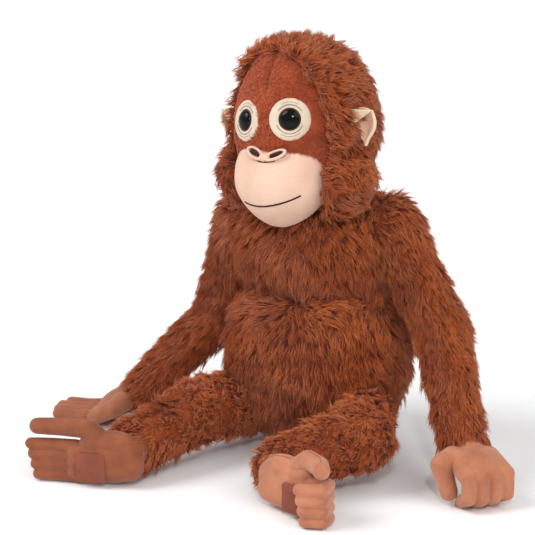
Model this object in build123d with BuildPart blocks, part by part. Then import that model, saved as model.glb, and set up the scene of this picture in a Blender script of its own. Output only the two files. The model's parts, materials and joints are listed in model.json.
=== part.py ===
"""A seated plush ape: fur-fabric shells over stuffing, ball-ended limbs, suede-like hands and feet.

Millimetres, +Z up. The origin is the middle of the flat seat, on the floor. The toy faces -Y, and
its own left side is +X. Every limb starts in a ball centred on its joint, and the piece that
carries it has a socket and a cone of free room round that ball.
"""
import os
from math import acos, atan2, cos, hypot, radians, sin, tan

from build123d import *

# Torso
BELLY_CENTRE = Vector(0, -8, 94)
BELLY_RADII = (102, 95, 104)
CHEST_CENTRE = Vector(-3, -10, 205)
CHEST_RADII = (88, 80, 78)
WAIST_HEIGHT = 186
CHEST_CORE_RADII = (42, 56)
CHEST_CORE_HEIGHT = 30
CHEST_CORE_EDGE = 8

# Head, in its own plane: x to the toy's left, y to the back, z up
HEAD_CENTRE = Vector(-2, -45, 335)
HEAD_RADII = (80, 80, 94)
HEAD_YAW = -8
NECK_PIVOT = Vector(-2, -28, 258)
NECK_RADIUS = 30
HEAD_UNDERSIDE_SLOPE = 12
FACE_DEPTH = 38
FACE_CENTRE = (0, 12, -4)
FACE_RADII = (72, 72, 94)
MUZZLE_CENTRE = (0, -34, -49)
MUZZLE_RADII = (44, 42, 40)
NOSE_CENTRE = (0, -63, -19)
NOSE_RADII = (22, 8, 7)
EYE_HEIGHT = 15
EYE_TURN = 22
EYE_TILT = 9
EYE_PATCH_RADIUS = 20
EYE_PATCH_THICKNESS = 1.5
EYE_RADIUS = 9.5
EYE_DOME = 3
EYE_SHANK_RADIUS = 1.6
EYE_SHANK_LENGTH = 7
EAR_BACK = -4
EAR_HEIGHT = 4
EAR_RADII = (15, 19)
EAR_THICKNESS = 12
EAR_EDGE = 4

# Limb lengths, from joint to joint
UPPER_ARM_LENGTH = 96
FOREARM_LENGTH = 120
THIGH_LENGTH = 73
SHIN_LENGTH = 78

# Limb radii, at the outside of the fur
SHOULDER_RADIUS = 36
ELBOW_CUFF_RADIUS = 32
ELBOW_RADIUS = 29
WRIST_CUFF_RADIUS = 26
HIP_RADIUS = 36
KNEE_CUFF_RADIUS = 34
KNEE_RADIUS = 31
ANKLE_CUFF_RADIUS = 29
SHOULDER_BALL_RADIUS = 23
SHOULDER_PLUG_RADIUS = 12
SHOULDER_PLUG_LENGTH = 38
SHOULDER_CUT = 14
HIP_BALL_RADIUS = 21
CUFF_OVERRUN = 26

# Hands, in the hand's plane: x to the fingertips, z out of the back of the hand
WRIST_RADIUS = 17
WRIST_NECK_RADIUS = 11
PALM_START = 14
PALM_LENGTH = 31
PALM_THICKNESS = 23
PALM_EDGE = 7
FINGER_COUNT = 4
FINGER_PITCH = 13
FINGER_LAP = 0.9
FINGER_TIP_RADIUS = 6.2
THUMB_ROOT = 24
THUMB_SPREAD = 0.2
THUMB_LENGTH = 28
THUMB_ROOT_RADIUS = 9.5
THUMB_TIP_RADIUS = 7.5

# Feet, in the foot's plane: x to the toes, z out of the sole; heights are above the floor
ANKLE_RADIUS = 19
ANKLE_NECK_RADIUS = 16
SOLE_BACK = 14
SOLE_THICKNESS = 24
SOLE_EDGE = 7
HEEL_RADIUS = 27
HEEL_PLACE = (9, 29)
BALL_OF_FOOT_RADIUS = 10
BALL_OF_FOOT_PLACES = ((48, 11.5), (48, 33))
TOE_COUNT = 4
TOE_PITCH = 10
TOE_LOWEST = 7.6
TOE_LAP = 1.6
TOE_TIP_RADIUS = 5.6
BIG_TOE_REACH = 42
BIG_TOE_ROOT_RADIUS = 9
BIG_TOE_TIP_RADIUS = 7.2

# Fabric
FUR_DEPTH = 12
SOCKET_WALL = 4
PATCH_THICKNESS = 1.4
PATCH_CORNER = 3
SOLE_PATCH_SIZE = (28, 28)
SOLE_PATCH_PLACE = (37, 21)
PALM_PATCH_SIZE = (20, 26)

# Fits
BALL_GAP = 0.4
CORE_GAP = 0.3
SEAM_GAP = 0.3
SWING_MARGIN = 1.5
CORE_EDGE = 4

# How far the joints move from the seated pose, in degrees
NOD_RANGE = (-9, 9)
NOD_MARGIN = 2
ARM_SPREAD_RANGE = (0, 30)
WRIST_RANGE = (-25, 25)
HIP_RAISE_RANGE = (-10, 22)
HIP_SPREAD_RANGE = (-15, 15)
ANKLE_RANGE = (-15, 15)

UP = Vector(0, 0, 1)
ASIDE = Vector(1, 0, 0)


def unit(x, y, z):
    """A direction of length one."""
    return Vector(x, y, z).normalized()


def turned(direction, axis, angle):
    """A direction turned about an axis."""
    return direction.rotate(Axis((0, 0, 0), axis), angle)


# How the toy sits: where each limb points, and the bends of its digits as (angle, length) pairs
SIDES = {
    "left": {
        "sign": 1,
        "shoulder": Vector(88, -10, 226),
        "upper_arm": unit(0.50, -0.09, -0.86),
        "forearm": unit(0.36, -0.44, -0.82),
        "palm": unit(0.66, -0.68, -0.24),
        "finger_bends": ((74, 20), (162, 24)),
        "thumb_bend": 60,
        "hip": Vector(58, -38, 48),
        "thigh": unit(30, -66, 4),
        "shin": unit(-46, -52, -16),
        "foot": unit(0.98, -0.20, 0),
        "toe_bends": ((80, 14), (150, 18)),
        "big_toe_bends": ((22, 20), (55, 18)),
        "elbow_range": (-15, 50),
        "knee_range": (-50, 15),
        "finger_range": (-60, 10),
        "toe_range": (-70, 5),
    },
    "right": {
        "sign": -1,
        "shoulder": Vector(-90, -10, 210),
        "upper_arm": unit(-0.33, 0.15, -0.93),
        "forearm": unit(-0.60, -0.38, -0.70),
        "palm": unit(-0.86, -0.15, -0.49),
        "finger_bends": ((-24, 26), (-30, 22)),
        "thumb_bend": 0,
        "hip": Vector(-58, -38, 48),
        "thigh": unit(-30, -66, 2),
        "shin": unit(-23, -61, -13),
        "foot": unit(-0.966, -0.26, 0),
        "toe_bends": ((0, 16), (6, 16)),
        "big_toe_bends": ((-2, 26), (4, 25)),
        "elbow_range": (-25, 45),
        "knee_range": (-8, 50),
        "finger_range": (-5, 65),
        "toe_range": (-5, 60),
    },
}

for pose in SIDES.values():
    pose["elbow"] = pose["shoulder"] + pose["upper_arm"] * UPPER_ARM_LENGTH
    pose["wrist"] = pose["elbow"] + pose["forearm"] * FOREARM_LENGTH
    pose["knee"] = pose["hip"] + pose["thigh"] * THIGH_LENGTH
    pose["ankle"] = pose["knee"] + pose["shin"] * SHIN_LENGTH
    pose["outward"] = ASIDE * pose["sign"]
    pose["spread_axis"] = Vector(0, -pose["sign"], 0)
    pose["elbow_axis"] = pose["upper_arm"].cross(pose["forearm"]).normalized()
    pose["knee_axis"] = UP * -pose["sign"]
    pose["hand_plane"] = Plane(
        origin=pose["wrist"],
        x_dir=pose["palm"],
        z_dir=pose["palm"].cross(UP.cross(pose["palm"])),
    )
    pose["foot_plane"] = Plane(
        origin=pose["ankle"],
        x_dir=pose["foot"],
        z_dir=pose["foot"].cross(UP) * pose["sign"],
    )

HEAD_PLANE = Plane(HEAD_CENTRE, x_dir=turned(ASIDE, UP, HEAD_YAW), z_dir=UP)
FORWARD = HEAD_PLANE.y_dir * -1
FINGER_ROOT_RADIUS = FINGER_PITCH / 2 + FINGER_LAP
TOE_ROOT_RADIUS = TOE_PITCH / 2 + TOE_LAP
PALM_WIDTH = (FINGER_COUNT - 1) * FINGER_PITCH + 2 * FINGER_ROOT_RADIUS
FINGER_HINGE = PALM_START + PALM_LENGTH + FINGER_ROOT_RADIUS + BALL_GAP
THUMB_HINGE = PALM_WIDTH / 2 + THUMB_ROOT_RADIUS + BALL_GAP
TOE_HINGE = BALL_OF_FOOT_PLACES[0][0] + BALL_OF_FOOT_RADIUS + TOE_ROOT_RADIUS + BALL_GAP
TOE_DEPTH = SOLE_BACK + SOLE_THICKNESS / 2


def save(part, name):
    """Label a finished piece and write it."""
    part.label = name
    export_step(part, f"parts/{name}.step")


def middle(limits):
    """The middle of a range."""
    return sum(limits) / 2


def half(limits):
    """Half the width of a range."""
    return (limits[1] - limits[0]) / 2


CHEST_TOP_SLOPE = HEAD_UNDERSIDE_SLOPE + half(NOD_RANGE) + NOD_MARGIN


def along(point, direction):
    """A plane at a point that looks along a direction."""
    return Plane(origin=point, z_dir=direction)


def ellipsoid(radii, grow=0):
    """A closed ellipsoid about its own centre."""
    return scale(Solid.make_sphere(1), by=tuple(r + grow for r in radii), mode=Mode.PRIVATE)


def ball(centre, radius, mode=Mode.ADD, aim=UP):
    """A sphere round a joint, with its poles along a direction."""
    with Locations(along(centre, aim)):
        Sphere(radius, mode=mode)


def rod(start, end, start_radius, end_radius=None, mode=Mode.ADD):
    """A straight or tapered rod between two points."""
    length = (end - start).length
    low = (Align.CENTER, Align.CENTER, Align.MIN)
    with Locations(along(start, end - start)):
        if end_radius is None:
            Cylinder(start_radius, length, align=low, mode=mode)
        else:
            Cone(start_radius, end_radius, length, align=low, mode=mode)


def limb(start, end, start_radius, end_radius):
    """A tapered limb with a round end on its first joint, turned about its own length."""
    length = (end - start).length
    side = Plane(origin=start, x_dir=end - start, z_dir=(end - start).cross(UP))
    with BuildPart() as shape:
        with BuildSketch(side):
            with BuildLine():
                CenterArc((0, 0), start_radius, 90, 90)
                Polyline((0, start_radius), (length, end_radius), (length, 0), (-start_radius, 0))
            make_face()
        revolve(axis=Axis(start, end - start))
    return shape.part


def free_room(pivot, direction, radius, swing, reach=250):
    """Cut the cone that a round limb sweeps when it swings any way about its pivot."""
    wide = radius + BALL_GAP
    angle = radians(swing + SWING_MARGIN)
    start = pivot - direction.normalized() * (wide * sin(angle))
    end = start + direction.normalized() * reach
    rod(start, end, wide * cos(angle), wide * cos(angle) + reach * tan(angle), Mode.SUBTRACT)


def socket(pivot, direction, ball_radius, limb_radius, swing):
    """Cut a socket for a ball, with room for the limb on it to swing."""
    ball(pivot, ball_radius + BALL_GAP, Mode.SUBTRACT, direction)
    free_room(pivot, direction, limb_radius, swing)


def neck_cone(slope, mode, drop=0, depth=90):
    """The solid cone below the neck pivot, whose sides fall away at a slope."""
    base = NECK_PIVOT - UP * (depth + drop)
    rod(base, base + UP * depth, depth / tan(radians(slope)), 0.01, mode)


def cut_for_limbs(wall=0):
    """Cut the torso's sockets, or leave a wall of fabric round them."""
    for pose in SIDES.values():
        outward = pose["outward"]
        arm_angle = pose["upper_arm"].get_angle(outward)
        free_room(pose["shoulder"], outward, SHOULDER_RADIUS + wall, arm_angle)
        plug_end = pose["shoulder"] - outward * (SHOULDER_PLUG_LENGTH + BALL_GAP + wall)
        plug_radius = SHOULDER_PLUG_RADIUS + BALL_GAP + wall
        rod(pose["shoulder"], plug_end, plug_radius, mode=Mode.SUBTRACT)
        raised = turned(pose["thigh"], ASIDE * -1, middle(HIP_RAISE_RANGE))
        swing = Vector(half(HIP_RAISE_RANGE), half(HIP_SPREAD_RANGE)).length
        socket(pose["hip"], raised, HIP_BALL_RADIUS + wall, HIP_RADIUS + wall, swing)


def belly(inset, wall):
    """The belly, inset from the outside of the fur, with a wall round its sockets."""
    with BuildPart() as shape:
        with Locations(BELLY_CENTRE):
            add(ellipsoid(BELLY_RADII, -inset))
        split(bisect_by=Plane.XY.offset(inset), keep=Keep.TOP)
        split(bisect_by=Plane.XY.offset(WAIST_HEIGHT - inset), keep=Keep.BOTTOM)
        cut_for_limbs(wall)
    return shape.part


def make_belly():
    """The lower torso: its fur and its stuffing."""
    cavity = belly(FUR_DEPTH - CORE_GAP, SOCKET_WALL - CORE_GAP)
    with BuildPart() as fur:
        add(belly(0, 0))
        add(cavity, mode=Mode.SUBTRACT)
    save(fur.part, "belly_fur")
    with BuildPart() as stuffing:
        add(belly(FUR_DEPTH, SOCKET_WALL))
    save(stuffing.part, "belly_stuffing")


def chest_core(grow):
    """The cushion of stuffing in the chest."""
    bottom = WAIST_HEIGHT + SOCKET_WALL - grow
    with BuildPart() as core:
        with BuildSketch(Plane.XY.offset(bottom)):
            with Locations((CHEST_CENTRE.X, CHEST_CENTRE.Y)):
                Ellipse(CHEST_CORE_RADII[0] + grow, CHEST_CORE_RADII[1] + grow)
        extrude(amount=CHEST_CORE_HEIGHT + 2 * grow)
        fillet(core.edges(), CHEST_CORE_EDGE + grow)
    return core.part


def make_chest():
    """The upper torso: its fur, its stuffing and the stuffed neck."""
    cavity = chest_core(CORE_GAP)
    with BuildPart() as fur:
        with Locations(CHEST_CENTRE):
            add(ellipsoid(CHEST_RADII))
        split(bisect_by=Plane.XY.offset(WAIST_HEIGHT + SEAM_GAP), keep=Keep.TOP)
        neck_cone(CHEST_TOP_SLOPE, Mode.INTERSECT)
        ball(NECK_PIVOT, NECK_RADIUS + BALL_GAP, Mode.SUBTRACT)
        cut_for_limbs()
        add(cavity, mode=Mode.SUBTRACT)
    save(fur.part, "chest_fur")
    with BuildPart() as stuffing:
        add(chest_core(0))
    save(stuffing.part, "chest_stuffing")
    with BuildPart() as neck:
        ball(NECK_PIVOT, NECK_RADIUS)
    save(neck.part, "neck_stuffing")


def at_head(x, y, z):
    """A place in the head's plane."""
    return HEAD_PLANE.location * Location((x, y, z))


def keep_front(depth):
    """Keep what lies in front of a depth in the head."""
    split(bisect_by=along(HEAD_CENTRE + FORWARD * depth, FORWARD), keep=Keep.TOP)


def hood(inset, wall):
    """The head behind the face, inset from the outside of the fur."""
    with BuildPart() as shape:
        with Locations(HEAD_PLANE):
            add(ellipsoid(HEAD_RADII, -inset))
        face = along(HEAD_CENTRE + FORWARD * (FACE_DEPTH - wall), FORWARD)
        split(bisect_by=face, keep=Keep.BOTTOM)
        neck_cone(HEAD_UNDERSIDE_SLOPE, Mode.SUBTRACT, drop=-wall)
        ball(NECK_PIVOT, NECK_RADIUS + BALL_GAP + wall, Mode.SUBTRACT)
    return shape.part


def make_hood():
    """The long-haired head fabric and the head's stuffing."""
    cavity = hood(FUR_DEPTH - CORE_GAP, SOCKET_WALL - CORE_GAP)
    with BuildPart() as fur:
        add(hood(0, 0))
        add(cavity, mode=Mode.SUBTRACT)
    save(fur.part, "head_fur")
    with BuildPart() as stuffing:
        add(hood(FUR_DEPTH, SOCKET_WALL))
    save(stuffing.part, "head_stuffing")


def eye_axis(sign):
    """A plane behind an eye, where the face's surface lies at the eye's depth."""
    x, y, _ = FACE_CENTRE
    level = turned(FORWARD, UP, sign * EYE_TURN)
    aim = turned(level, level.cross(UP), EYE_TILT)
    return along(at_head(x, y, EYE_HEIGHT).position + (level - aim) * eye_depth(), aim)


def eye_depth():
    """How far the face's surface lies in front of its upright axis, at the height of the eyes."""
    rise = (EYE_HEIGHT - FACE_CENTRE[2]) / FACE_RADII[2]
    return FACE_RADII[1] * (1 - rise**2) ** 0.5


def eye_hole(sign):
    """Cut the hole that an eye's shank passes through."""
    with Locations(eye_axis(sign)):
        with Locations((0, 0, eye_depth() - EYE_SHANK_LENGTH)):
            Cylinder(EYE_SHANK_RADIUS + CORE_GAP, EYE_SHANK_LENGTH * 2,
                     align=(Align.CENTER, Align.CENTER, Align.MIN), mode=Mode.SUBTRACT)


def make_face_pieces():
    """The short-haired face panel, the muzzle and the nose."""
    with BuildPart() as panel:
        with Locations(at_head(*FACE_CENTRE)):
            add(ellipsoid(FACE_RADII))
        keep_front(FACE_DEPTH + SEAM_GAP)
        with Locations(at_head(*MUZZLE_CENTRE)):
            add(ellipsoid(MUZZLE_RADII, SEAM_GAP), mode=Mode.SUBTRACT)
        neck_cone(HEAD_UNDERSIDE_SLOPE, Mode.SUBTRACT)
        for pose in SIDES.values():
            eye_hole(pose["sign"])
    largest = panel.part.solids().sort_by(SortBy.VOLUME)[-1]
    save(largest, "face_panel")

    with BuildPart() as muzzle:
        with Locations(at_head(*MUZZLE_CENTRE)):
            add(ellipsoid(MUZZLE_RADII))
        keep_front(FACE_DEPTH + SEAM_GAP)
        neck_cone(HEAD_UNDERSIDE_SLOPE, Mode.SUBTRACT)
    save(muzzle.part, "muzzle")

    with BuildPart() as nose:
        with Locations(at_head(*NOSE_CENTRE)):
            add(ellipsoid(NOSE_RADII))
        with Locations(at_head(*MUZZLE_CENTRE)):
            add(ellipsoid(MUZZLE_RADII, SEAM_GAP), mode=Mode.SUBTRACT)
        with Locations(at_head(*FACE_CENTRE)):
            add(ellipsoid(FACE_RADII, SEAM_GAP), mode=Mode.SUBTRACT)
    save(nose.part, "nose")


def make_eye(side, sign):
    """One pale eye patch and the bead eye that pins it to the face."""
    low = (Align.CENTER, Align.CENTER, Align.MIN)
    with BuildPart() as patch:
        with Locations(eye_axis(sign)):
            with Locations((0, 0, FACE_DEPTH)):
                Cylinder(EYE_PATCH_RADIUS, FACE_RADII[1], align=low)
        with Locations(at_head(*FACE_CENTRE)):
            add(ellipsoid(FACE_RADII, SEAM_GAP + EYE_PATCH_THICKNESS), mode=Mode.INTERSECT)
            add(ellipsoid(FACE_RADII, SEAM_GAP), mode=Mode.SUBTRACT)
        eye_hole(sign)
    save(patch.part, f"{side}_eye_patch")

    dome_radius = (EYE_RADIUS**2 + EYE_DOME**2) / (2 * EYE_DOME)
    back = eye_depth() + 2 * SEAM_GAP + EYE_PATCH_THICKNESS
    with BuildPart() as eye:
        with Locations(eye_axis(sign)):
            with Locations((0, 0, back + EYE_DOME - dome_radius)):
                Sphere(dome_radius)
        split(bisect_by=eye_axis(sign).offset(back), keep=Keep.TOP)
        with Locations(eye_axis(sign)):
            with Locations((0, 0, back - EYE_SHANK_LENGTH)):
                Cylinder(EYE_SHANK_RADIUS, EYE_SHANK_LENGTH + EYE_DOME / 2, align=low)
    save(eye.part, f"{side}_eye")


def make_ears():
    """The two ears, sewn to the sides of the hood."""
    root = HEAD_PLANE.from_local_coords(Vector(HEAD_RADII[0], EAR_BACK, EAR_HEIGHT))
    with BuildPart() as ear:
        with BuildSketch(Plane(root, x_dir=HEAD_PLANE.x_dir, z_dir=FORWARD)):
            Ellipse(*EAR_RADII)
        extrude(amount=EAR_THICKNESS / 2, both=True)
        fillet(ear.edges().filter_by(GeomType.ELLIPSE).group_by(SortBy.LENGTH)[-1], EAR_EDGE)
        with Locations(HEAD_PLANE):
            add(ellipsoid(HEAD_RADII, SEAM_GAP), mode=Mode.SUBTRACT)
    save(ear.part, "left_ear")
    with BuildPart() as other_ear:
        mirror(ear.part, about=along(HEAD_CENTRE, HEAD_PLANE.x_dir))
    save(other_ear.part, "right_ear")


def core(start, end, start_room, end_room, start_radius, end_radius, grow):
    """A round-edged plug of stuffing between two joints, clear of the sockets at its ends."""
    aim = (end - start).normalized()
    base = start + aim * (start_room - grow)
    top = end - aim * (end_room - grow)
    edge = min(CORE_EDGE + grow, (top - base).length / 3)
    with BuildPart() as plug:
        rod(base, top, start_radius + grow, end_radius + grow)
        fillet(plug.edges().filter_by(GeomType.CIRCLE), edge)
    return plug.part


def save_limb(outer, name, *core_sizes):
    """Hollow a limb's outer shape, and write its fur and its stuffing."""
    cavity = core(*core_sizes, CORE_GAP)
    with BuildPart() as fur:
        add(outer)
        add(cavity, mode=Mode.SUBTRACT)
    save(fur.part, f"{name}_fur")
    with BuildPart() as stuffing:
        add(core(*core_sizes, 0))
    save(stuffing.part, f"{name}_stuffing")


def make_upper_arm(side, pose):
    """The stuffed shoulder that fills the arm's root, and the upper arm."""
    shoulder, elbow, outward = pose["shoulder"], pose["elbow"], pose["outward"]
    with BuildPart() as root:
        ball(shoulder, SHOULDER_BALL_RADIUS, aim=outward)
        rod(shoulder, shoulder - outward * SHOULDER_PLUG_LENGTH, SHOULDER_PLUG_RADIUS)
    save(root.part, f"{side}_shoulder_stuffing")

    bent = turned(pose["forearm"], pose["elbow_axis"], middle(pose["elbow_range"]))
    plug_aim = turned(outward * -1, pose["spread_axis"], -middle(ARM_SPREAD_RANGE))
    with BuildPart() as outer:
        add(limb(shoulder, elbow, SHOULDER_RADIUS, ELBOW_CUFF_RADIUS))
        split(bisect_by=along(shoulder - outward * SHOULDER_CUT, outward), keep=Keep.TOP)
        free_room(shoulder, plug_aim, SHOULDER_PLUG_RADIUS, half(ARM_SPREAD_RANGE), HIP_RADIUS * 2)
        ball(shoulder, SHOULDER_BALL_RADIUS + BALL_GAP, Mode.SUBTRACT, pose["upper_arm"])
        socket(elbow, bent, ELBOW_RADIUS, ELBOW_RADIUS, half(pose["elbow_range"]))
    save_limb(outer.part, f"{side}_upper_arm", shoulder, elbow,
              SHOULDER_BALL_RADIUS + SOCKET_WALL, ELBOW_RADIUS + SOCKET_WALL,
              SHOULDER_RADIUS - FUR_DEPTH, ELBOW_CUFF_RADIUS - FUR_DEPTH)


def make_forearm(side, pose):
    """The forearm, from the elbow ball to the fur cuff."""
    elbow, wrist = pose["elbow"], pose["wrist"]
    cuff = wrist + pose["forearm"] * CUFF_OVERRUN
    with BuildPart() as outer:
        add(limb(elbow, cuff, ELBOW_RADIUS, WRIST_CUFF_RADIUS))
        split(bisect_by=along(wrist, pose["palm"]), keep=Keep.BOTTOM)
        socket(wrist, pose["palm"], WRIST_RADIUS, WRIST_RADIUS, half(WRIST_RANGE))
    inner_wrist = WRIST_RADIUS + SOCKET_WALL
    save_limb(outer.part, f"{side}_forearm", elbow, wrist, 0, inner_wrist,
              ELBOW_RADIUS - FUR_DEPTH, WRIST_CUFF_RADIUS - FUR_DEPTH)


def digit(start, bends, root_radius, tip_radius, place):
    """A finger or toe as a chain of rods and balls, laid out by a function of reach and rise."""
    reach, rise = start
    joints = [place(reach, rise)]
    for angle, length in bends:
        reach += length * cos(radians(angle))
        rise += length * sin(radians(angle))
        joints.append(place(reach, rise))
    radii = [root_radius + (tip_radius - root_radius) * number / len(bends)
             for number in range(len(joints))]
    for number in range(len(bends)):
        first, second = joints[number:number + 2]
        rod(first, second, radii[number], radii[number + 1])
        ball(first, radii[number], aim=second - first)
    ball(joints[-1], radii[-1], aim=joints[-1] - joints[-2])


def make_hand(side, pose):
    """The hand, its row of fingers, its thumb and the loop patch in the palm."""
    plane = pose["hand_plane"]
    low = (Align.MIN, Align.CENTER, Align.CENTER)
    with BuildPart(plane) as palm:
        with Locations((PALM_START, 0, 0)):
            Box(PALM_LENGTH, PALM_WIDTH, PALM_THICKNESS, align=low)
        fillet(palm.edges(), PALM_EDGE)
        Sphere(WRIST_RADIUS)
        with Locations(Plane.YZ):
            Cylinder(WRIST_NECK_RADIUS, PALM_START + PALM_EDGE,
                     align=(Align.CENTER, Align.CENTER, Align.MIN))
    save(palm.part, f"{side}_hand")

    with BuildPart() as fingers:
        for number in range(FINGER_COUNT):
            aside = (number - (FINGER_COUNT - 1) / 2) * FINGER_PITCH
            digit((FINGER_HINGE, 0), pose["finger_bends"], FINGER_ROOT_RADIUS, FINGER_TIP_RADIUS,
                  lambda reach, rise: plane.from_local_coords(Vector(reach, aside, -rise)))
    save(fingers.part, f"{side}_fingers")

    bend = radians(pose["thumb_bend"])
    thumb_side = -pose["sign"]
    root = Vector(THUMB_ROOT, thumb_side * THUMB_HINGE, 0)
    aim = Vector(cos(bend), thumb_side * THUMB_SPREAD, -sin(bend)).normalized()
    start = plane.from_local_coords(root)
    end = plane.from_local_coords(root + aim * THUMB_LENGTH)
    with BuildPart() as thumb:
        ball(start, THUMB_ROOT_RADIUS)
        rod(start, end, THUMB_ROOT_RADIUS, THUMB_TIP_RADIUS)
        ball(end, THUMB_TIP_RADIUS)
    save(thumb.part, f"{side}_thumb")

    patch_plane = plane.offset(-PALM_THICKNESS / 2 - SEAM_GAP)
    with BuildPart() as patch:
        with BuildSketch(patch_plane):
            with Locations((PALM_START + PALM_LENGTH / 2, 0)):
                RectangleRounded(*PALM_PATCH_SIZE, PATCH_CORNER)
        extrude(amount=-PATCH_THICKNESS)
    save(patch.part, f"{side}_palm_patch")


def make_thigh(side, pose):
    """The stuffed hip that fills the leg's root, and the thigh."""
    hip, knee = pose["hip"], pose["knee"]
    with BuildPart() as root:
        ball(hip, HIP_BALL_RADIUS)
    save(root.part, f"{side}_hip_stuffing")

    bent = turned(pose["shin"], pose["knee_axis"], middle(pose["knee_range"]))
    with BuildPart() as outer:
        rod(hip, knee, HIP_RADIUS, KNEE_CUFF_RADIUS)
        ball(hip, HIP_BALL_RADIUS + BALL_GAP, Mode.SUBTRACT, pose["thigh"])
        socket(knee, bent, KNEE_RADIUS, KNEE_RADIUS, half(pose["knee_range"]))
    save_limb(outer.part, f"{side}_thigh", hip, knee,
              HIP_BALL_RADIUS + SOCKET_WALL, KNEE_RADIUS + SOCKET_WALL,
              HIP_RADIUS - FUR_DEPTH, KNEE_CUFF_RADIUS - FUR_DEPTH)


def make_shin(side, pose):
    """The lower leg, from the knee ball to the fur cuff."""
    knee, ankle = pose["knee"], pose["ankle"]
    cuff = ankle + pose["shin"] * CUFF_OVERRUN
    sole_aim = pose["foot_plane"].z_dir
    with BuildPart() as outer:
        add(limb(knee, cuff, KNEE_RADIUS, ANKLE_CUFF_RADIUS))
        split(bisect_by=along(ankle, sole_aim), keep=Keep.BOTTOM)
        socket(ankle, sole_aim, ANKLE_RADIUS, ANKLE_RADIUS, half(ANKLE_RANGE))
    save_limb(outer.part, f"{side}_shin", knee, ankle, 0, ANKLE_RADIUS + SOCKET_WALL,
              KNEE_RADIUS - FUR_DEPTH, ANKLE_CUFF_RADIUS - FUR_DEPTH)


def big_toe_height():
    """The height at which the big toe's root lies on the upper edge of the sole."""
    heel, front = HEEL_PLACE, BALL_OF_FOOT_PLACES[1]
    run, rise = front[0] - heel[0], front[1] - heel[1]
    lean = atan2(rise, run) + acos((HEEL_RADIUS - BALL_OF_FOOT_RADIUS) / hypot(run, rise))
    edge = heel[0] * cos(lean) + heel[1] * sin(lean) + HEEL_RADIUS
    return (edge + BIG_TOE_ROOT_RADIUS + SEAM_GAP - BIG_TOE_REACH * cos(lean)) / sin(lean)


def make_foot(side, pose):
    """The foot, its row of toes, its big toe and the loop patch on the sole."""
    plane, sign, ankle = pose["foot_plane"], pose["sign"], pose["ankle"]

    def across(height):
        """The foot's y at a height above the floor."""
        return sign * (height - ankle.Z)

    with BuildPart() as sole:
        with BuildSketch(plane.offset(SOLE_BACK)) as outline:
            with Locations((HEEL_PLACE[0], across(HEEL_PLACE[1]))):
                Circle(HEEL_RADIUS)
            for reach, height in BALL_OF_FOOT_PLACES:
                with Locations((reach, across(height))):
                    Circle(BALL_OF_FOOT_RADIUS)
            make_hull()
        extrude(amount=SOLE_THICKNESS)
        fillet(sole.edges(), SOLE_EDGE)
        ball(ankle, ANKLE_RADIUS)
        rod(ankle, ankle + plane.z_dir * (SOLE_BACK + SOLE_EDGE), ANKLE_NECK_RADIUS)
    save(sole.part, f"{side}_foot")

    with BuildPart() as toes:
        for number in range(TOE_COUNT):
            height = TOE_LOWEST + number * TOE_PITCH
            digit((TOE_HINGE, TOE_DEPTH), pose["toe_bends"], TOE_ROOT_RADIUS, TOE_TIP_RADIUS,
                  lambda reach, rise: plane.from_local_coords(
                      Vector(reach, across(height), rise)))
    save(toes.part, f"{side}_toes")

    height = big_toe_height()
    with BuildPart() as big_toe:
        digit((BIG_TOE_REACH, TOE_DEPTH), pose["big_toe_bends"], BIG_TOE_ROOT_RADIUS, BIG_TOE_TIP_RADIUS,
              lambda reach, rise: plane.from_local_coords(Vector(reach, across(height), rise)))
    save(big_toe.part, f"{side}_big_toe")

    with BuildPart() as patch:
        with BuildSketch(plane.offset(SOLE_BACK + SOLE_THICKNESS + SEAM_GAP)):
            with Locations((SOLE_PATCH_PLACE[0], across(SOLE_PATCH_PLACE[1]))):
                RectangleRounded(*SOLE_PATCH_SIZE, PATCH_CORNER)
        extrude(amount=PATCH_THICKNESS)
    save(patch.part, f"{side}_sole_patch")


def main():
    """Make every piece."""
    os.makedirs("parts", exist_ok=True)
    make_belly()
    make_chest()
    make_hood()
    make_face_pieces()
    make_ears()
    for side, pose in SIDES.items():
        make_eye(side, pose["sign"])
        make_upper_arm(side, pose)
        make_forearm(side, pose)
        make_hand(side, pose)
        make_thigh(side, pose)
        make_shin(side, pose)
        make_foot(side, pose)


if __name__ == "__main__":
    main()
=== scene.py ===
"""A seated plush ape: long rust pile, a short-pile face, a pale knit muzzle, suede-like hands and feet."""
import json
from math import atan2, cos, pi, radians, sin, sqrt

import bmesh
import bpy
import numpy as np
from mathutils import Matrix, Vector

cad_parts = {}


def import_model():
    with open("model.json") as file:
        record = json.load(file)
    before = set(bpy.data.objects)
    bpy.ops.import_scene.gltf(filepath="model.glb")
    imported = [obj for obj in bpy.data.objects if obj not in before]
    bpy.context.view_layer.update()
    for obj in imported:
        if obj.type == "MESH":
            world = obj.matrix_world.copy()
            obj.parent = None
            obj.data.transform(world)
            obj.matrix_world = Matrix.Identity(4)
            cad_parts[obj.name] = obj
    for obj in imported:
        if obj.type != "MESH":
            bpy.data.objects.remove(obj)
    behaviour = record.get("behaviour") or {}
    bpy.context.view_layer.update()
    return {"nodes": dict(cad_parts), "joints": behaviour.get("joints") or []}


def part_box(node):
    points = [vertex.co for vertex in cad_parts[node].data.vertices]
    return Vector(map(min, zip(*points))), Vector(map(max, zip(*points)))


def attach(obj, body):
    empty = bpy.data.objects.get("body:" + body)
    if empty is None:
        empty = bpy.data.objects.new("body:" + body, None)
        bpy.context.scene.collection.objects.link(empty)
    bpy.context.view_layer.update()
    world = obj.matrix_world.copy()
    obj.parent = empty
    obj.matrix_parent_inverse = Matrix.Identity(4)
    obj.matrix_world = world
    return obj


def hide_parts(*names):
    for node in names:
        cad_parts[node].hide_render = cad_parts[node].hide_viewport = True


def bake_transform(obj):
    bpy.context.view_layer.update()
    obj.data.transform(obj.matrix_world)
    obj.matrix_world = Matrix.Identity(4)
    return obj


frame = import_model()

JOINTS = {joint["name"]: joint for joint in frame["joints"]}
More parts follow.
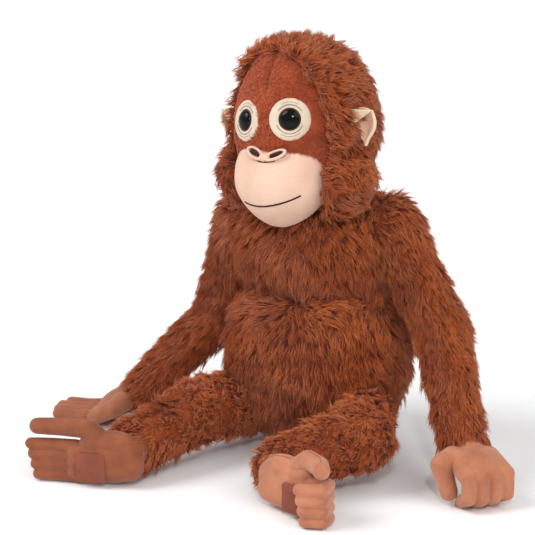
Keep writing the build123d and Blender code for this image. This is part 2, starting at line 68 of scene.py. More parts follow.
SIDES = ("left", "right")
SIGNS = {"left": 1, "right": -1}
UP = Vector((0, 0, 1))

# How far the skins under the pile lie inside the fur shells' outsides
TORSO_PILE = 0.011
LIMB_PILE = 0.010
LEG_PILE = 0.006
HEAD_PILE = 0.009

# Lengths of the pile
TORSO_LENGTH = 0.019
ARM_LENGTH = 0.016
THIGH_LENGTH = 0.0105
SHIN_LENGTH = 0.0100
HOOD_LENGTH = 0.0135
FACE_LENGTH = 0.0030

# Locks of pile on a square metre
LOCKS = 60000
FACE_LOCKS = 500000

# Lowest places of skins, of suede and of strands, over the floor
SKIN_FLOOR = 0.003
SUEDE_FLOOR = 0.0006
STRAND_FLOOR = 0.0008

# The torso: its ovals, the fold at the waist, and the fill under the shoulders.
# An upper arm starts a little beside its joint, where the photo shows its top.
BELLY_HEIGHT = 0.098
BELLY_RADII = (0.102 - TORSO_PILE, 0.095 - TORSO_PILE, 0.108 - TORSO_PILE)
CHEST_PLACE = (-0.003, -0.010, 0.209)
CHEST_RADII = (0.089 - TORSO_PILE, 0.081 - TORSO_PILE, 0.076 - TORSO_PILE)
CREASE_HEIGHT = 0.170
CREASE_DEPTH = 0.010
CREASE_WIDTH = 0.007
WAIST_RADII = (0.076, 0.038, 0.032)
COLLAR_PLACE = Vector((0.028, 0, 0.043))
COLLAR_RADII = (0.022, 0.019)
SHOULDER_SHIFT = {"left": Vector((-0.009, 0, 0.015)), "right": Vector((0.006, 0, 0.024))}

# The head, in its own directions: x to the toy's left, y to the back, z up. The face panel leans
# with its height, and each eye lies (across, up) from its CAD patch.
HEAD_HALF_WIDTH = 0.080
HEAD_HALF_HEIGHT = 0.094
FACE_CENTRE = (0, 0.012, -0.004)
FACE_RADII = (0.072, 0.072, 0.094)
FACE_HALF_WIDTH = 0.060
FACE_HALF_HEIGHT = 0.072
FACE_HEIGHT = 0.002
FACE_LEAN = -0.085
CHEEK_PLACE, CHEEK_RADII = (0.044, -0.012, -0.046), (0.034, 0.036, 0.034)
CROWN_PLACE, CROWN_RADII = (-0.018, -0.008, 0.042), (0.040, 0.040, 0.040)
BROW_HEIGHT, BROW_SPREAD = 0.031, 0.018
BROW_CREASE, BROW_CREASE_WIDTH = 0.0066, 0.0032
BROW_LOBE, BROW_LOBE_ASIDE, BROW_LOBE_WIDTH = 0.0036, 0.018, 0.014
EYE_SHIFT = {"left": (-0.0050, -0.0014), "right": (-0.0042, -0.0060)}
MUZZLE_CENTRE = (0, -0.034, -0.049)
MUZZLE_RADII = (0.044, 0.042, 0.040)
# Sewn lines on the muzzle: their turns about it in degrees, and the thread's radius
MOUTH_TURNS, MOUTH_RADIUS = (-31, 51), 0.0009
DIP_TURNS, DIP_RADIUS = (-9, 15), 0.0006
NOSTRIL_ASIDE = 0.0115
NOSTRIL_RADII = (0.0094, 0.0036)
NOSE_RIM = 0.0016
EYE_TURN, EYE_TILT = radians(22), radians(9)
PATCH_BARE = 0.0195
STITCH = 0.00035

# Hands and feet, in their own directions: x to the fingertips, z out of the hand's back or the sole.
# Bends are (angle in degrees, length) for each bone of a digit.
KNUCKLE_REACH = 0.0528
FINGER_BENDS = {"left": ((74, 0.018), (138, 0.015)), "right": ((-24, 0.026), (-30, 0.022))}
THUMB_BENDS = {"left": 60, "right": 0}
THUMB_LEAN = 0.22
TOE_BENDS = {"left": ((80, 0.014), (150, 0.018)), "right": ((0, 0.016), (6, 0.016))}
BIG_TOE_BENDS = {"left": ((18, 0.017), (46, 0.012)), "right": ((-2, 0.026), (4, 0.025))}
TOE_REACH, TOE_DEPTH = 0.065, 0.026


# -------- places

def place(name):
    """Where a joint is."""
    return Vector(JOINTS[name]["pos_m"])


def axis(name):
    """The direction of a joint's axis."""
    return Vector(JOINTS[name]["axis"]).normalized()


HEAD_X = axis("head_nod")
HEAD_Y = UP.cross(HEAD_X)
_low, _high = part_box("head_fur")
HEAD = Vector(((_low.x + _high.x) / 2, _high.y - HEAD_HALF_WIDTH, _high.z - HEAD_HALF_HEIGHT))


def basis(x, y, z, origin):
    """A frame as a matrix."""
    matrix = Matrix((x, y, z)).transposed().to_4x4()
    matrix.translation = origin
    return matrix


HEAD_FRAME = basis(HEAD_X, HEAD_Y, UP, HEAD)


def hand_frame(side):
    """The hand's frame, at the wrist."""
    x = (place(f"{side}_finger_curl") - place(f"{side}_wrist")).normalized()
    y = axis(f"{side}_wrist")
    return basis(x, y, x.cross(y), place(f"{side}_wrist"))


def foot_frame(side):
    """The foot's frame, at the ankle."""
    y = axis(f"{side}_ankle") * SIGNS[side]
    toward = (place(f"{side}_toe_curl") - place(f"{side}_ankle")).normalized()
    slant = atan2(TOE_DEPTH, TOE_REACH)
    aside = y.cross(toward)
    return basis(toward * cos(slant) + aside * sin(slant), y,
                 toward * sin(slant) - aside * cos(slant), place(f"{side}_ankle"))


# -------- materials

def linear(red, green, blue):
    """A colour given in 0 to 255, as linear light."""
    return tuple((c / 255) ** 2.2 for c in (red, green, blue)) + (1,)


class Paint:
    """A procedural material under construction."""

    def __init__(self, name, roughness=0.8, specular=0.25, sheen=0.0):
        self.material = bpy.data.materials.new(name)
        self.material.use_nodes = True
        self.tree = self.material.node_tree
        self.shader = self.tree.nodes["Principled BSDF"]
        for key, value in (("Roughness", roughness), ("Specular IOR Level", specular),
                           ("Sheen Weight", sheen), ("Sheen Roughness", 0.5)):
            self.shader.inputs[key].default_value = value
        self.height = None

    def node(self, kind, **inputs):
        """A node with its inputs given by name: a value, or another node's output."""
        made = self.tree.nodes.new(kind)
        for key, value in inputs.items():
            socket = made.inputs[int(key[1:])] if key[0] == "_" else made.inputs[key]
            if isinstance(value, bpy.types.NodeSocket):
                self.tree.links.new(value, socket)
            else:
                socket.default_value = value
        return made

    def coordinates(self):
        """The place on the object, in metres."""
        return self.node("ShaderNodeTexCoord").outputs["Object"]

    def noise(self, scale, detail=3.0):
        """Smooth noise at a number of lumps per metre."""
        made = self.node("ShaderNodeTexNoise", Vector=self.coordinates(), Scale=scale, Detail=detail)
        return made.outputs["Fac"]

    def ramp(self, factor, *stops):
        """A colour ramp, from (place, colour) stops."""
        made = self.node("ShaderNodeValToRGB", Fac=factor)
        elements = made.color_ramp.elements
        while len(elements) < len(stops):
            elements.new(0.5)
        for element, (at, colour) in zip(elements, stops):
            element.position = at
            element.color = colour
        return made.outputs["Color"]

    def mix(self, factor, first, second, blend="MIX"):
        """Two colours mixed."""
        made = self.node("ShaderNodeMixRGB", _0=factor, _1=first, _2=second)
        made.blend_type = blend
        return made.outputs[0]

    def colour(self, output):
        """Use this as the base colour."""
        self.tree.links.new(output, self.shader.inputs["Base Color"])

    def bump(self, height, distance, strength=1.0):
        """Add relief on top of what is there."""
        made = self.node("ShaderNodeBump", Height=height, Distance=distance, Strength=strength)
        if self.height:
            self.tree.links.new(self.height, made.inputs["Normal"])
        self.height = made.outputs["Normal"]
        self.tree.links.new(self.height, self.shader.inputs["Normal"])


def pile_material(name, dark, light):
    """Pile whose colour runs from root to tip along v, darker at the roots as painted shade between the
    strands, and from dark to light locks along u.
    """
    paint = Paint(name, roughness=0.72, specular=0.18, sheen=0.15)
    uv = paint.node("ShaderNodeUVMap")
    uv.uv_map = "OFBake"
    split = paint.node("ShaderNodeSeparateXYZ", Vector=uv.outputs["UV"])
    places = (0.0, 0.35, 0.7, 1.0)
    low, high = (paint.ramp(split.outputs["Y"], *((at, linear(*colour)) for at, colour in zip(places, side)))
                 for side in (dark, light))
    paint.colour(paint.mix(split.outputs["X"], low, high))
    return paint.material


def cloth(name, dark, light, grain, relief, roughness=0.9, sheen=0.1, blotch=45):
    """Brushed cloth: blotches, fine fibre and a nap."""
    paint = Paint(name, roughness=roughness, specular=0.2, sheen=sheen)
    base = paint.ramp(paint.noise(blotch, 4.0), (0.3, linear(*dark)), (0.7, linear(*light)))
    fibre = paint.noise(grain, 6.0)
    shade = paint.ramp(fibre, (0.25, (0.80, 0.80, 0.80, 1)), (0.75, (1, 1, 1, 1)))
    paint.colour(paint.mix(1.0, base, shade, "MULTIPLY"))
    paint.bump(fibre, relief, 0.6)
    return paint


# Each colour list runs from root to tip: the darker roots are painted shade between the strands.
PILE = pile_material(
    "pile",
    ((100, 40, 16), (138, 59, 26), (168, 79, 38), (186, 95, 50)),
    ((124, 53, 23), (172, 84, 41), (205, 111, 60), (224, 139, 86)))
SHORT_PILE = pile_material(
    "short_pile",
    ((110, 44, 20), (150, 64, 34), (172, 78, 46), (180, 88, 54)),
    ((140, 60, 32), (182, 86, 52), (204, 104, 66), (214, 120, 80)))


def knit_material():
    """The muzzle's pale knit, with fine upright ribs."""
    paint = cloth("muzzle_knit", (221, 180, 156), (236, 198, 175), 1400, 0.00008, 0.75, 0.15, 30)
    wave = paint.node("ShaderNodeTexWave", Vector=paint.coordinates(), Scale=420.0, Distortion=1.2)
    wave.bands_direction = "X"
    paint.bump(wave.outputs["Fac"], 0.00012, 0.5)
    return paint.material


def gloss_material(name, colour, roughness):
    """Hard gloss plastic with a little wear."""
    paint = Paint(name, roughness=roughness, specular=0.18)
    worn = paint.noise(300, 3.0)
    paint.colour(paint.ramp(worn, (0.3, colour), (0.7, tuple(min(1, c * 1.4) for c in colour[:3]) + (1,))))
    return paint.material


def lit_and_shaded_suedes(name, left, right):
    """A suede cloth for each side of the toy: the left one is coloured lighter as painted light, the right
    one darker as painted shade.
    """
    return {side: cloth(f"{side}_{name}", *colours, 1100, 0.0003, sheen=sheen).material
            for side, colours, sheen in (("left", left, 0.25), ("right", right, 0.2))}


# The left hand and foot are coloured lighter as painted light, the right ones darker as painted shade.
SUEDE = lit_and_shaded_suedes("hand_suede", ((166, 102, 73), (194, 127, 96)), ((146, 86, 60), (172, 108, 79)))
SOLE = lit_and_shaded_suedes("sole_suede", ((168, 104, 76), (200, 133, 102)), ((130, 73, 50), (158, 93, 67)))
KNIT = knit_material()
TAPE = cloth("loop_tape", (124, 66, 50), (150, 84, 65), 1600, 0.0004, 0.95, 0.2).material
FELT = cloth("eye_felt", (206, 188, 166), (228, 212, 190), 1500, 0.00015, sheen=0.2).material
EAR_FELT = cloth("ear_felt", (216, 190, 158), (236, 212, 182), 1200, 0.0002, sheen=0.2).material
EAR_LINING = cloth("ear_lining", (226, 178, 150), (240, 198, 172), 1200, 0.0002, sheen=0.2).material
THREAD = cloth("dark_thread", (44, 24, 16), (66, 38, 27), 2500, 0.0001, 0.7).material
SEAM = cloth("seam_thread", (134, 80, 58), (154, 96, 72), 2500, 0.0001, 0.8).material
FINE_THREAD = cloth("brown_thread", (120, 96, 70), (146, 120, 92), 2500, 0.0001, 0.7).material
BEAD = gloss_material("bead", linear(14, 12, 12), 0.12)
IRIS = gloss_material("iris", linear(62, 40, 24), 0.35)


# -------- meshes

def link(name, data, *materials):
    """An object in the scene for a mesh, a curve, a camera or a lamp."""
    made = bpy.data.objects.new(name, data)
    bpy.context.scene.collection.objects.link(made)
    for material in materials:
        data.materials.append(material)
    return made


def mesh_from(name, points, faces):
    """A mesh of points and faces."""
    mesh = bpy.data.meshes.new(name)
    mesh.from_pydata(points, [], faces)
    return mesh


def mesh_of(name, shapes):
    """A mesh of a bmesh, which is freed."""
    mesh = bpy.data.meshes.new(name)
    shapes.to_mesh(mesh)
    shapes.free()
    return mesh


def mesh_shown(made):
    """A smooth mesh of what an object shows, with its modifiers or its tube."""
    graph = bpy.context.evaluated_depsgraph_get()
    mesh = bpy.data.meshes.new_from_object(made.evaluated_get(graph))
    smooth(mesh)
    return mesh


def dress(made, body, stands_for=()):
    """Say a piece's body and the nodes it stands for."""
    if body:
        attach(made, body)
    if stands_for:
        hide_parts(*stands_for)
    return made


def smooth(mesh):
    """Shade a mesh smooth."""
    mesh.polygons.foreach_set("use_smooth", [True] * len(mesh.polygons))


def baked(made):
    """The object with its modifiers applied."""
    mesh = mesh_shown(made)
    made.modifiers.clear()
    old, made.data = made.data, mesh
    bpy.data.meshes.remove(old)
    return made


def thicken(made, thickness, offset):
    """Give a sheet a thickness."""
    thick = made.modifiers.new("thick", "SOLIDIFY")
    thick.thickness = thickness
    thick.offset = offset


def ring_faces(rings, spokes):
    """Quads between rings of points that follow one another."""
    faces = []
    for first in range(0, (rings - 1) * spokes, spokes):
        for spoke in range(spokes):
            after = (spoke + 1) % spokes
            faces.append((first + spoke, first + after, first + spokes + after, first + spokes + spoke))
    return faces


def oval(mesh, centre, radii, frame_matrix=None, detail=4):
    """Add a closed oval to a bmesh."""
    turned = (frame_matrix or Matrix.Identity(4)) @ Matrix.Translation(centre)
    matrix = turned @ Matrix.Diagonal((*radii, 1))
    bmesh.ops.create_icosphere(mesh, subdivisions=detail, radius=1, matrix=matrix)


def rod(mesh, start, end, start_radius, end_radius, detail=3):
    """Add a round-ended taper to a bmesh."""
    taper = bmesh.new()
    for centre, radius in ((start, start_radius), (end, end_radius)):
        bmesh.ops.create_icosphere(taper, subdivisions=detail, radius=radius,
                                   matrix=Matrix.Translation(centre))
    hull = bmesh.ops.convex_hull(taper, input=taper.verts[:])
    inside = [v for v in hull["geom_interior"] if isinstance(v, bmesh.types.BMVert)]
    bmesh.ops.delete(taper, geom=inside, context="VERTS")
    kept = {v for face in taper.faces for v in face.verts}
    bmesh.ops.delete(taper, geom=[v for v in taper.verts if v not in kept], context="VERTS")
    copy = mesh_of("taper", taper)
    mesh.from_mesh(copy)
    bpy.data.meshes.remove(copy)


def fused(name, draw, voxel, rounds, *materials):
    """Shapes drawn into a bmesh, fused into one skin and smoothed."""
    shapes = bmesh.new()
    draw(shapes)
    made = link(name, mesh_of(name, shapes), *materials)
    remesh = made.modifiers.new("fuse", "REMESH")
    remesh.mode = "VOXEL"
    remesh.voxel_size = voxel
    soften = made.modifiers.new("soften", "SMOOTH")
    soften.factor = 0.5
    soften.iterations = rounds
    return baked(made)


def read(items, key, width=3, kind=float):
    """One property of many items of a mesh, as an array."""
    values = np.empty(len(items) * width, kind)
    items.foreach_get(key, values)
    return values.reshape(-1, width) if width > 1 else values


def points_of(mesh):
    """A mesh's points as an array."""
    return read(mesh.vertices, "co")


def move_points(mesh, points):
    """Give a mesh's points new places."""
    mesh.vertices.foreach_set("co", points.ravel())
    mesh.update()


def above_floor(made, height):
    """Flatten a piece where it would sink below a height over the floor."""
    points = points_of(made.data)
    points[:, 2] = np.maximum(points[:, 2], height)
    move_points(made.data, points)
    return made


def local(points, matrix):
    """World points in a frame."""
    inverse = np.array(matrix.inverted())
    return points @ inverse[:3, :3].T + inverse[:3, 3]


def world(points, matrix):
    """A frame's points in the world."""
    array = np.array(matrix)
    return points @ array[:3, :3].T + array[:3, 3]


def unit(vectors):
    """Rows of length one."""
    return vectors / np.maximum(np.linalg.norm(vectors, axis=-1, keepdims=True), 1e-9)


WAVE_COUNT = 7


def waves(points, size, seed):
    """Smooth noise, about -1 to 1, with lumps of a size."""
    rng = np.random.default_rng(seed)
    total = np.zeros(len(points))
    for _ in range(WAVE_COUNT):
        direction = rng.normal(size=3)
        direction *= 2 * pi / (size * np.linalg.norm(direction)) * rng.uniform(0.6, 1.5)
        total += np.sin(points @ direction + rng.uniform(0, 2 * pi))
    return np.clip(total / sqrt(WAVE_COUNT), -1.3, 1.3)


def swirl(points, size, seed):
    """Smooth random vectors."""
    return np.stack([waves(points, size, seed + k) for k in range(3)], axis=1)


# -------- pile

STRAND_SIDES = 3
PILE_DENSITY = 1.0


def scatter(mesh, count, rng):
    """Points spread evenly over a mesh, with their normals."""
    mesh.calc_loop_triangles()
    corners = read(mesh.loop_triangles, "vertices", kind=int)
    points = points_of(mesh)
    normals = read(mesh.vertices, "normal")
    a, b, c = (points[corners[:, k]] for k in range(3))
    area = np.linalg.norm(np.cross(b - a, c - a), axis=1)
    total = area.sum() / 2
    chosen = rng.choice(len(area), size=int(count * total), p=area / area.sum())
    u, v = rng.random(len(chosen)), rng.random(len(chosen))
    flip = u + v > 1
    u[flip], v[flip] = 1 - u[flip], 1 - v[flip]
    weights = np.stack([1 - u - v, u, v], axis=1)[:, :, None]
    where = (points[corners[chosen]] * weights).sum(axis=1)
    facing = unit((normals[corners[chosen]] * weights).sum(axis=1))
    return where, facing


def lying(vectors, normals):
    """Vectors without their share along the normals."""
    return vectors - (vectors * normals).sum(1, keepdims=True) * normals


def strands(roots, normals, comb, length, spec, seed):
    """Tapered three-sided strands in locks. roots are the locks' middles."""
    rng = np.random.default_rng(seed)
    per = spec["per_lock"]
    count = len(roots)
    flow = unit(lying(comb(roots), normals))
    flow = flow + swirl(roots, spec["swirl_size"], seed + 5) * spec["swirl"]
    flow += rng.normal(size=(count, 3)) * spec["mess"]
    flow = unit(lying(flow, normals))
    lift = spec["lift"] * (1 + 0.35 * waves(roots, 0.022, seed + 9)) * rng.uniform(0.75, 1.25, count)
    size = length * rng.uniform(0.75, 1.15, count)
    tone = 0.5 + 0.28 * waves(roots, 0.05, seed + 13) + rng.normal(size=count) * 0.16

    def each(values):
        return np.repeat(values, per, axis=0)

    n, f, root = each(normals), each(flow), each(roots)
    total = count * per
    offset = lying(rng.normal(size=(total, 3)) * spec["lock"], n)
    reach = each(size)[:, None] * rng.uniform(0.8, 1.1, (total, 1))
    rise = each(lift)[:, None]
    stray = rng.normal(size=(total, 3)) * reach * spec["stray"]
    levels = [root + offset - n * 0.0012,
              root + offset * 0.85 + reach * (n * rise * 0.50 + f * 0.38) + stray * 0.35,
              root + offset * spec["gather"] + reach * (n * rise * 0.72 + f * 0.86) + stray]
    for level in levels:
        level[:, 2] = np.maximum(level[:, 2], STRAND_FLOOR)
    along = unit(levels[2] - levels[0])
    side = unit(np.cross(along, n) + 1e-6)
    over = np.cross(side, along)
    width = spec["radius"] * rng.uniform(0.75, 1.25, (total, 1))
    turns = [(cos(2 * pi * k / STRAND_SIDES), sin(2 * pi * k / STRAND_SIDES)) for k in range(STRAND_SIDES)]
    rings = [level + width * share * (c * side + s * over)
             for level, share in ((levels[0], 1.0), (levels[1], 0.85)) for c, s in turns]
    points = np.stack(rings + [levels[2]], axis=1)
    shade = np.clip(each(tone) + rng.normal(size=total) * 0.10, 0.02, 0.97)
    return points, shade


STRAND_FACES = [(2, 1, 0), (0, 1, 4, 3), (1, 2, 5, 4), (2, 0, 3, 5), (3, 4, 6), (4, 5, 6), (5, 3, 6)]
# Places on the root-to-tip colour ramp: the roots and the skin under the pile take its darker part, painted
# shade between the strands.
STRAND_V = (0.02, 0.02, 0.02, 0.5, 0.5, 0.5, 0.98)
SKIN_SHADE_V = 0.30


def pile_mesh(name, skin, points, shade, material):
    """One mesh of a skin and its strands, with the colour map."""
    count, per = points.shape[:2]
    skin_points = points_of(skin) if skin else np.zeros((0, 3))
    base = len(skin_points)
    corners = [c for face in STRAND_FACES for c in face]
    sizes = [len(face) for face in STRAND_FACES]
    loops = (np.arange(count)[:, None] * per + np.array(corners)[None, :] + base).ravel()
    totals = np.tile(sizes, count)
    u = np.repeat(shade, len(corners)) + np.tile([0.004 * (c % 3) for c in corners], count)
    v = np.tile([STRAND_V[c] for c in corners], count) + np.tile([0.003 * (c % 2) for c in corners], count)
    if skin:
        skin_loops = read(skin.loops, "vertex_index", 1, int)
        loops = np.concatenate([skin_loops, loops])
        totals = np.concatenate([read(skin.polygons, "loop_total", 1, int), totals])
        tone = 0.35 + 0.2 * waves(skin_points, 0.03, 3)
        u = np.concatenate([tone[skin_loops], u])
        # The skin takes the ramp's darker colour, painted shade under the pile.
        v = np.concatenate([np.full(len(skin_loops), SKIN_SHADE_V), v])
    mesh = bpy.data.meshes.new(name)
    every = np.concatenate([skin_points, points.reshape(-1, 3)])
    mesh.vertices.add(len(every))
    mesh.vertices.foreach_set("co", every.ravel())
    mesh.loops.add(len(loops))
    mesh.loops.foreach_set("vertex_index", loops)
    mesh.polygons.add(len(totals))
    starts = np.concatenate([[0], np.cumsum(totals)[:-1]])
    mesh.polygons.foreach_set("loop_start", starts)
    layer = mesh.uv_layers.new(name="OFBake")
    layer.data.foreach_set("uv", np.stack([u, v], axis=1).ravel())
    mesh.update()
    smooth(mesh)
    return link(name, mesh, material)


LONG = dict(per_lock=7, lock=0.0024, gather=0.32, lift=0.62, swirl=0.30, swirl_size=0.045, mess=0.14,
            stray=0.06, radius=0.00040)
ARM = dict(LONG, lift=0.56, swirl=0.26, mess=0.14)
LEG = dict(LONG, lift=0.95, swirl=0.9, swirl_size=0.022, mess=0.5, lock=0.0020, gather=0.5)
HOOD = dict(LONG, lift=0.74, swirl=0.65, swirl_size=0.028, mess=0.20, stray=0.045)
SHORT = dict(per_lock=2, lock=0.0008, gather=0.7, lift=0.85, swirl=0.4, swirl_size=0.03, mess=0.25,
             stray=0.08, radius=0.00030)


def grow(name, skin, comb, length, spec, seed, keep, locks=LOCKS, material=PILE, parts=None):
    """Pile on a skin, as one piece, or as one piece for each share that parts() tells."""
    roots, normals = scatter(skin.data, locks * PILE_DENSITY, np.random.default_rng(seed))
    kept = keep(roots)
    roots, normals = roots[kept], normals[kept]
    share = parts(roots) if parts else np.zeros(len(roots), int)
    made = []
    for number in sorted(set(share)):
        mine = share == number
        points, shade = strands(roots[mine], normals[mine], comb, length, spec, seed + 31 * number)
        label = name if parts is None else f"{name}_{number + 1}"
        under = skin.data if number == 0 else None
        made.append(pile_mesh(label, under, points, shade, material))
    bpy.data.objects.remove(skin)
    return made


# -------- bodies

def within_oval(points, centre, radii, matrix=None, margin=0.0):
    """Which points are inside an oval, grown by a margin."""
    p = local(points, matrix) if matrix else points
    return (((p - np.array(centre)) / (np.array(radii) + margin)) ** 2).sum(1) < 1


def within_rod(points, start, end, start_radius, end_radius, margin=0.0):
    """Which points are inside a taper, grown by a margin."""
    a, d = np.array(start), np.array(end) - np.array(start)
    t = np.clip(((points - a) @ d) / (d @ d), 0, 1)
    away = np.linalg.norm(points - a - t[:, None] * d, axis=1)
    return away < start_radius + (end_radius - start_radius) * t + margin


_low, _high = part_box("belly_fur")
BELLY = Vector((0, (_low.y + _high.y) / 2, BELLY_HEIGHT))
CHEST = Vector(CHEST_PLACE)
SKULL_RADII = (HEAD_HALF_WIDTH - HEAD_PILE, HEAD_HALF_WIDTH - HEAD_PILE, HEAD_HALF_HEIGHT - HEAD_PILE)


def limb_rods(side):
    """The skins of a side's four limb pieces: name, start, end and radii."""
    shoulder, elbow, wrist = (place(f"{side}_{n}") for n in ("shoulder_swing", "elbow", "wrist"))
    hip, knee, ankle = (place(f"{side}_{n}") for n in ("hip_raise", "knee", "ankle"))
    return {
        "upper_arm": (shoulder + SHOULDER_SHIFT[side], elbow, 0.034 - LIMB_PILE, 0.033 - LIMB_PILE),
        "forearm": (elbow, wrist, 0.033 - LIMB_PILE, 0.029 - LIMB_PILE),
        "thigh": (hip, knee, 0.037 - LEG_PILE, 0.034 - LEG_PILE),
        "shin": (knee, ankle, 0.033 - LEG_PILE, 0.029 - LEG_PILE),
    }


RODS = {side: limb_rods(side) for side in SIDES}


def down(points):
    """Pile that hangs down, and fans out sideways under the crease of the waist."""
    under = np.clip(1 - (CREASE_HEIGHT - points[:, 2]) / 0.035, 0, 1) * (points[:, 2] < CREASE_HEIGHT)
    way = np.tile([0.0, 0.0, -1.0], (len(points), 1))
    way[:, 0] += under * np.sin(points[:, 0] * 60)
    way[:, 2] += under * 0.9
    return way


def make_torso():
    """The belly and the chest, as one sack with a crease at the waist."""
    def draw(shapes):
        oval(shapes, BELLY, BELLY_RADII)
        oval(shapes, CHEST, CHEST_RADII)
        oval(shapes, (CHEST.x, CHEST.y, CREASE_HEIGHT + 0.002), WAIST_RADII)
        for side, sign in SIGNS.items():
            collar = CHEST + Vector((sign * COLLAR_PLACE.x, COLLAR_PLACE.y, COLLAR_PLACE.z))
            inward = Vector((-sign * COLLAR_PLACE.x * 0.3, 0, 0.002))
            rod(shapes, collar, RODS[side]["upper_arm"][0] + inward, *COLLAR_RADII)

    skin = fused("torso_skin", draw, 0.005, 3)
    points = points_of(skin.data)
    away = points[:, :2] - np.array(BELLY)[:2]
    fold = CREASE_DEPTH * np.exp(-((points[:, 2] - CREASE_HEIGHT) / CREASE_WIDTH) ** 2)
    fold *= np.clip(1.2 - np.abs(points[:, 0]) / 0.07, 0.1, 1)
    points[:, :2] -= away / np.linalg.norm(away, axis=1, keepdims=True) * fold[:, None]
    move_points(skin.data, points)
    above_floor(skin, SKIN_FLOOR)

    def keep(p):
        hidden = within_oval(p, (0, 0, 0), SKULL_RADII, HEAD_FRAME, -0.004) | (p[:, 2] < 0.006)
        for side in SIDES:
            for part in ("upper_arm", "thigh"):
                hidden |= within_rod(p, *RODS[side][part], 0.0)
        return ~hidden

    def quarter(p):
        return (p[:, 1] > -0.012).astype(int) + 2 * (p[:, 2] > 0.115).astype(int)

    inside = ("belly_fur", "chest_fur", "belly_stuffing", "chest_stuffing")
    for made in grow("torso_pile", skin, down, TORSO_LENGTH, LONG, 101, keep, parts=quarter):
        dress(made, "torso", inside)


def along(start, end, after=None):
    """Pile that runs along a limb and turns into the next piece's way near its end."""
    way = np.array((end - start).normalized())
    following = np.array(after.normalized()) if after else way
    length = (end - start).length

    def comb(points):
        share = np.clip(((points - np.array(start)) @ way) / length * 2.5 - 1.5, 0, 1)[:, None]
        root = np.clip(1 - ((points - np.array(start)) @ way) / length * 4, 0, 1)[:, None]
        aside = np.array([0.9 if start.x > 0 else -0.9, 0, 0])
        return way * (1 - share) + following * share + np.array([0, 0, -0.25]) + root * aside
    return comb


def make_limb(side, part, next_part, length, spec, cuff, seed):
    """One piece of a limb. Near its lower end its pile turns toward the next part, where there is one."""
    start, end, start_radius, end_radius = RODS[side][part]
    aim = (end - start).normalized()
    stop = end + aim * cuff
    after = RODS[side][next_part][1] - RODS[side][next_part][0] if next_part else None

    def draw(shapes):
        rod(shapes, start, stop, start_radius, end_radius)

    skin = above_floor(fused(f"{side}_{part}_skin", draw, 0.004, 2), SKIN_FLOOR)

    def keep(p):
        hidden = within_oval(p, BELLY, BELLY_RADII, margin=-0.010)
        hidden |= within_oval(p, CHEST, CHEST_RADII, margin=-0.014)
        return ~(hidden | (p[:, 2] < 0.004))

    made, = grow(f"{side}_{part}_pile", skin, along(start, end, after), length, spec, seed, keep)
    if next_part:
        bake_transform(made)
    inside = (f"{side}_{part}_fur", f"{side}_{part}_stuffing")
    return dress(made, None if next_part else f"{side}_{part}", inside)


def make_limbs():
    """The arms and the legs of both sides; the stuffing at the shoulders and hips is hidden."""
    for number, side in enumerate(SIDES):
        arm = make_limb(side, "upper_arm", "forearm", ARM_LENGTH, ARM, 0.004, 200 + number)
        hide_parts(f"{side}_shoulder_stuffing")
        make_limb(side, "forearm", None, ARM_LENGTH, ARM, -0.002, 220 + number)
        leg = make_limb(side, "thigh", "shin", THIGH_LENGTH, LEG, 0.004, 240 + number)
        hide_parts(f"{side}_hip_stuffing")
        make_limb(side, "shin", None, SHIN_LENGTH, LEG, 0.006, 260 + number)


# -------- head

def lean(z):
    """How far aside the hand-sewn face is at a height: it leans a little."""
    return FACE_LEAN * (z - MUZZLE_CENTRE[2])


def in_face(points):
    """How far a head point is from the face opening's middle, as a share of the way to its edge."""
    p = local(points, HEAD_FRAME)
    across = (p[:, 0] - lean(p[:, 2])) / FACE_HALF_WIDTH
    share = np.sqrt(across ** 2 + ((p[:, 2] - FACE_HEIGHT) / FACE_HALF_HEIGHT) ** 2)
    below = within_oval(points, MUZZLE_CENTRE, MUZZLE_RADII, HEAD_FRAME, 0.009)
    share = np.where(below, 0.5, share)
    return np.where(p[:, 1] < 0, share, 9.0)


def make_hood():
    """The long-pile hood round the face."""
    def draw(shapes):
        oval(shapes, (0, 0, 0), SKULL_RADII, HEAD_FRAME)
        for sign in (-1, 1):
            oval(shapes, (sign * CHEEK_PLACE[0], *CHEEK_PLACE[1:]), CHEEK_RADII, HEAD_FRAME)
        oval(shapes, CROWN_PLACE, CROWN_RADII, HEAD_FRAME)

    skin = fused("hood_skin", draw, 0.0035, 4)
    points = points_of(skin.data)
    p = local(points, HEAD_FRAME)
    panel = face_depth(p[:, 0], p[:, 2]) + 0.005
    p[:, 1] = np.where((in_face(points) < 1) & (p[:, 1] < panel), panel, p[:, 1])
    move_points(skin.data, world(p, HEAD_FRAME))

    def keep(p):
        q = local(p, HEAD_FRAME)
        ear = (np.abs(q[:, 0]) > 0.064) & (np.abs(q[:, 2] - 0.006) < 0.015)
        ear &= np.abs(q[:, 1] + 0.012) < 0.007
        return (in_face(p) > 1.0) & ~ear

    def comb(points):
        p = local(points, HEAD_FRAME)
        outward = np.stack([p[:, 0] * 1.2, np.full(len(p), 0.012), p[:, 2] - 0.02], axis=1)
        side_share = np.clip(1 - np.abs(p[:, 2]) / 0.09, 0, 1)
        outward[:, 2] -= 0.035 * side_share + 0.01
        outward[:, 1] += 0.03
        return unit(outward) @ np.array(HEAD_FRAME)[:3, :3].T

    def halves(p):
        return (local(p, HEAD_FRAME)[:, 1] > 0.005).astype(int)

    for made in grow("hood_pile", skin, comb, HOOD_LENGTH, HOOD, 301, keep, parts=halves):
        dress(made, "head", ("head_fur", "head_stuffing", "neck_stuffing"))


